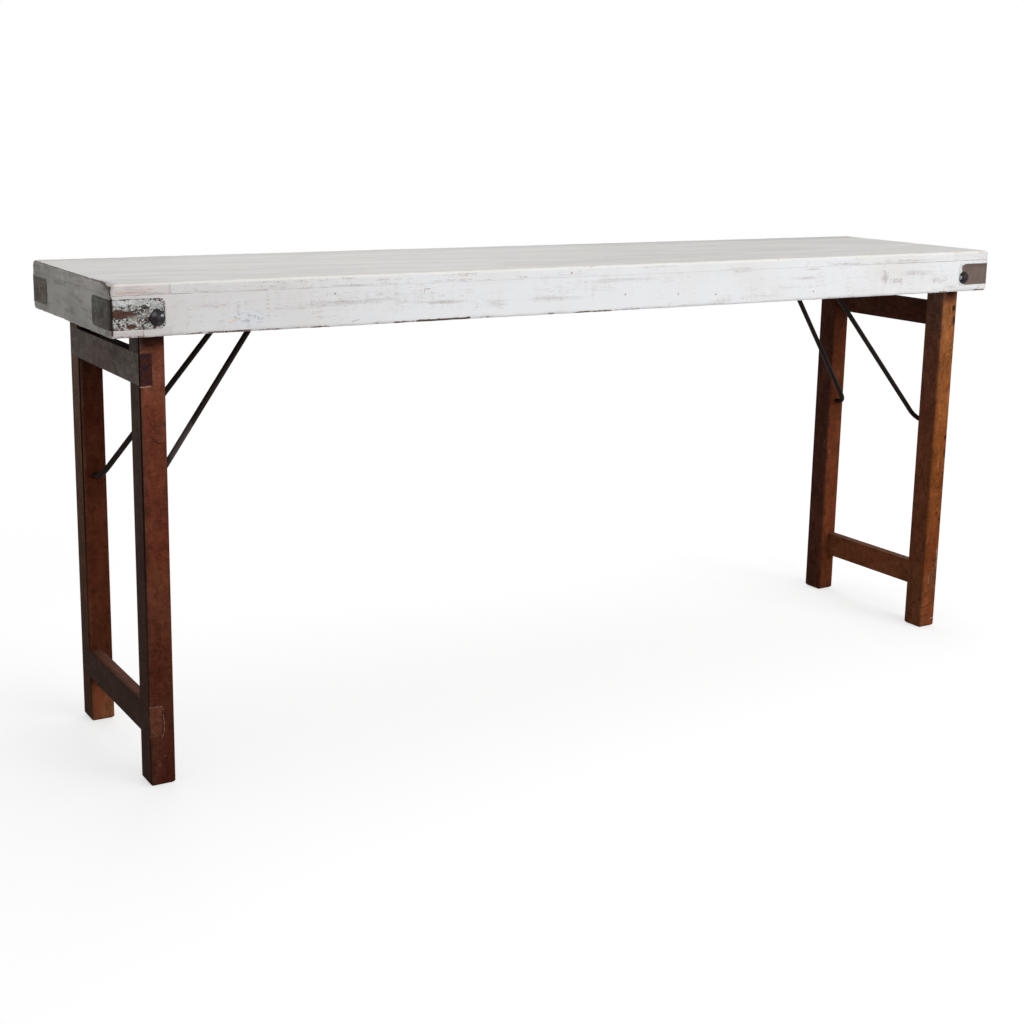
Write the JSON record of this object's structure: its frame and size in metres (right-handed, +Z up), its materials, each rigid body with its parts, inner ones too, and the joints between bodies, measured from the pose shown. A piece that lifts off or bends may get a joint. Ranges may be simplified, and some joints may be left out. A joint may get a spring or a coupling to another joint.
{
  "type": "folding console table",
  "caption": "Long narrow whitewashed wooden table on two dark leg frames that fold up inside the skirt, with bent iron rod braces and iron corner straps.",
  "frame": {"origin": "on the floor under the middle of the table", "axes": "+X along the table to the right, +Y to the rear, +Z up"},
  "size_m": [1.801, 0.435, 0.79],
  "materials": {
    "limewashed_wood": "worn white limewash, matt",
    "bare_wood": "unpainted, sawn",
    "varnished_wood": "old dark varnish, satin",
    "painted_iron": "rusty iron with flaking white paint",
    "black_iron": "dark oxidised iron, satin"
  },
  "bodies": {
    "top": {"top_board_front": "limewashed_wood", "top_board_middle": "limewashed_wood", "top_board_rear": "limewashed_wood", "side_rail_front": "limewashed_wood", "side_rail_rear": "limewashed_wood", "end_rail_left": "limewashed_wood", "end_rail_right": "limewashed_wood", "centre_batten": "bare_wood", "keeper_cleat_left": "bare_wood", "keeper_cleat_right": "bare_wood", "corner_iron_front_left": "painted_iron", "corner_iron_front_right": "painted_iron", "corner_iron_rear_left": "painted_iron", "corner_iron_rear_right": "painted_iron", "corner_iron_nails": "painted_iron", "pivot_bolts": "black_iron", "outer_washers": "black_iron", "inner_washers": "black_iron", "pivot_nuts": "black_iron", "keeper_screws": "black_iron", "brace_keeper_left": "black_iron", "brace_keeper_right": "black_iron"},
    "leg_frame_left": {"leg_front_left": "varnished_wood", "leg_rear_left": "varnished_wood", "upper_rail_left": "varnished_wood", "stretcher_left": "varnished_wood", "frame_nails_left": "black_iron"},
    "leg_frame_right": {"leg_front_right": "varnished_wood", "leg_rear_right": "varnished_wood", "upper_rail_right": "varnished_wood", "stretcher_right": "varnished_wood", "frame_nails_right": "black_iron"},
    "brace_left": {"brace_rod_left": "black_iron"},
    "brace_right": {"brace_rod_right": "black_iron"}
  },
  "joints": [
    {"name": "leg_frame_left_fold", "type": "hinge", "parent": "top", "child": "leg_frame_left", "pos_m": [-0.83, 0, 0.738], "axis": [0, -1, 0], "range_deg": [0, 90]},
    {"name": "leg_frame_right_fold", "type": "hinge", "parent": "top", "child": "leg_frame_right", "pos_m": [0.83, 0, 0.738], "axis": [0, 1, 0], "range_deg": [0, 90]},
    {"name": "brace_left_swing", "type": "hinge", "parent": "leg_frame_left", "child": "brace_left", "pos_m": [-0.83, 0, 0.434], "axis": [0, 1, 0], "range_deg": [0, 141]},
    {"name": "brace_right_swing", "type": "hinge", "parent": "leg_frame_right", "child": "brace_right", "pos_m": [0.83, 0, 0.434], "axis": [0, -1, 0], "range_deg": [0, 141]}
  ],
  "couplings": [
    {"joint": "brace_left_swing", "follows": "leg_frame_left_fold", "ratio": 1.5667},
    {"joint": "brace_right_swing", "follows": "leg_frame_right_fold", "ratio": 1.5667}
  ]
}
